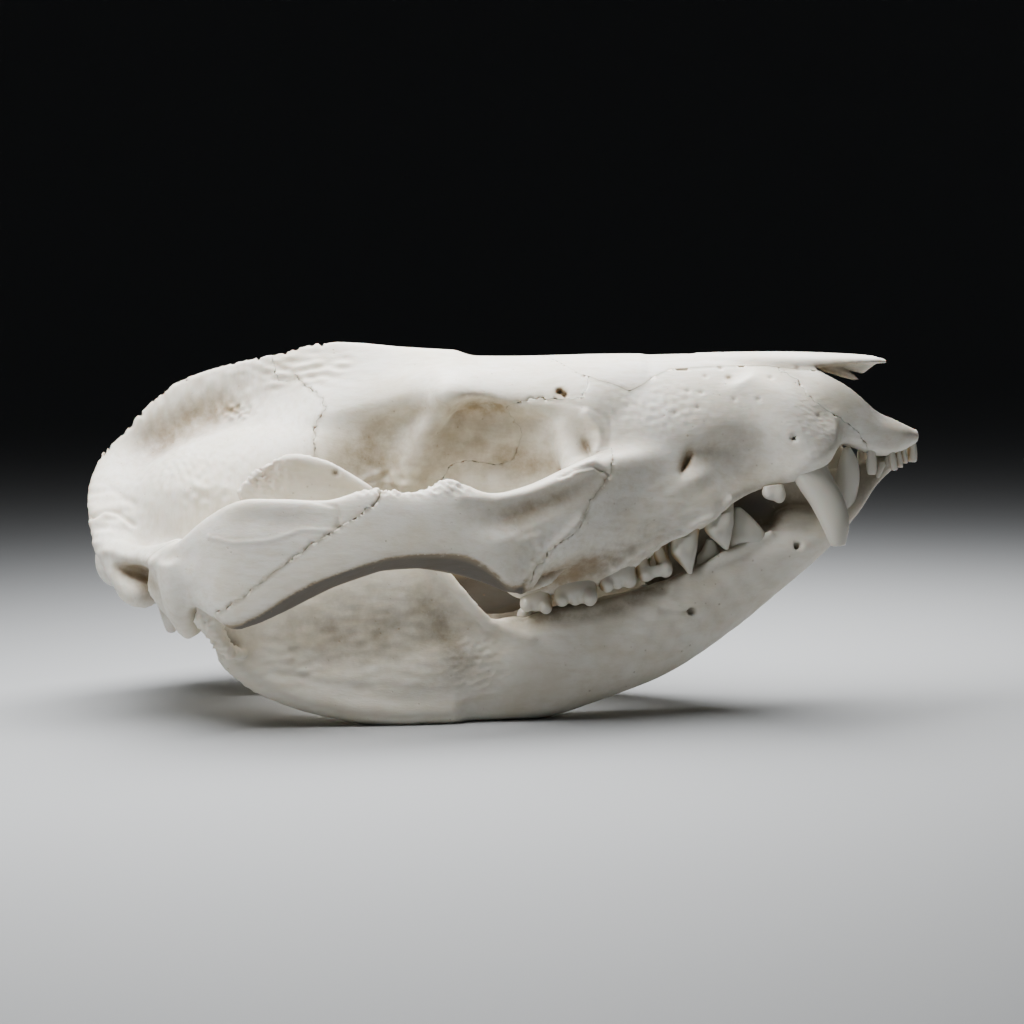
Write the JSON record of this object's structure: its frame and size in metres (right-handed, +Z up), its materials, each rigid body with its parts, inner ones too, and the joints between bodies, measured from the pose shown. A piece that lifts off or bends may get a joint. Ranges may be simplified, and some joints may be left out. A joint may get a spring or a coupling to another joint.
{
  "type": "opossum skull",
  "caption": "Life-size opossum skull with its jaw shut, resting on the lower edges of the jaw; tall crest, wide cheek arches and long canines.",
  "frame": {"origin": "centre of the skull's outer box at the level of the surface it rests on", "axes": "+X towards the snout, +Y towards the animal's left side, +Z up"},
  "size_m": [0.1292, 0.0702, 0.0567],
  "materials": {
    "cranium_bone": "dry bleached bone, smooth with fine pores",
    "jaw_bone": "dry bleached bone, slightly warmer, with fine pores"
  },
  "bodies": {
    "root": {"braincase": "cranium_bone", "frontal": "cranium_bone", "maxilla_left": "cranium_bone", "maxilla_right": "cranium_bone", "premaxilla_left": "cranium_bone", "premaxilla_right": "cranium_bone", "nasal_left": "cranium_bone", "nasal_right": "cranium_bone", "jugal_left": "cranium_bone", "jugal_right": "cranium_bone", "squamosal_left": "cranium_bone", "squamosal_right": "cranium_bone", "dentary_left": "jaw_bone", "dentary_right": "jaw_bone"}
  },
  "joints": []
}
